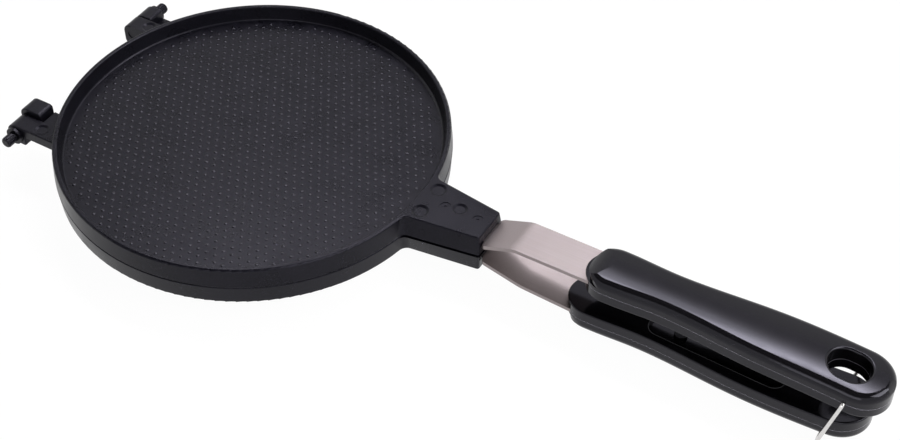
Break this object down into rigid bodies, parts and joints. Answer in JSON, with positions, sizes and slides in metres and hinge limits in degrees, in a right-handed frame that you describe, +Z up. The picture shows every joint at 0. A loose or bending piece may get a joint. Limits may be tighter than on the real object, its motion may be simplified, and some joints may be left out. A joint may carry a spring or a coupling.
{
  "type": "waffle cone pan",
  "caption": "Hinged stovetop waffle cone pan with round coated plates, steel straps, black grips and a wire bail that holds the handle shut.",
  "frame": {"origin": "middle of the lower plate's bottom rim, on the plane that the pan stands on", "axes": "+X from the pan to the end of the handle, +Z up through both plates"},
  "size_m": [0.4514, 0.2016, 0.041],
  "materials": {
    "coated_casting": "black non-stick coating on a die casting, satin",
    "stainless_strap": "satin stainless steel",
    "black_grip": "polished black moulding",
    "bright_wire": "bright steel wire",
    "coated_pin": "steel pin under the same black coating",
    "coated_rivet": "aluminium rivet under the same black coating",
    "screw_steel": "black zinc-plated steel",
    "insert_brass": "turned brass"
  },
  "bodies": {
    "lower_half": {"lower_plate": "coated_casting", "lower_strap": "stainless_strap", "lower_grip": "black_grip", "left_hinge_pin": "coated_pin", "lower_front_rivet": "coated_rivet", "lower_rear_rivet": "coated_rivet", "lower_front_screw": "screw_steel", "lower_rear_screw": "screw_steel", "lower_front_insert": "insert_brass", "lower_rear_insert": "insert_brass"},
    "upper_half": {"upper_plate": "coated_casting", "upper_strap": "stainless_strap", "upper_grip": "black_grip", "right_hinge_pin": "coated_pin", "upper_front_rivet": "coated_rivet", "upper_rear_rivet": "coated_rivet", "upper_front_screw": "screw_steel", "upper_rear_screw": "screw_steel", "upper_front_insert": "insert_brass", "upper_rear_insert": "insert_brass"},
    "bail": {"bail": "bright_wire"}
  },
  "joints": [
    {"name": "lid_open", "type": "hinge", "parent": "lower_half", "child": "upper_half", "pos_m": [-0.1083, 0, 0.01085], "axis": [0, -1, 0], "range_deg": [0, 180]},
    {"name": "bail_swing", "type": "hinge", "parent": "upper_half", "child": "bail", "pos_m": [0.3206, 0, 0.02085], "axis": [0, -1, 0], "range_deg": [0, 262]}
  ]
}
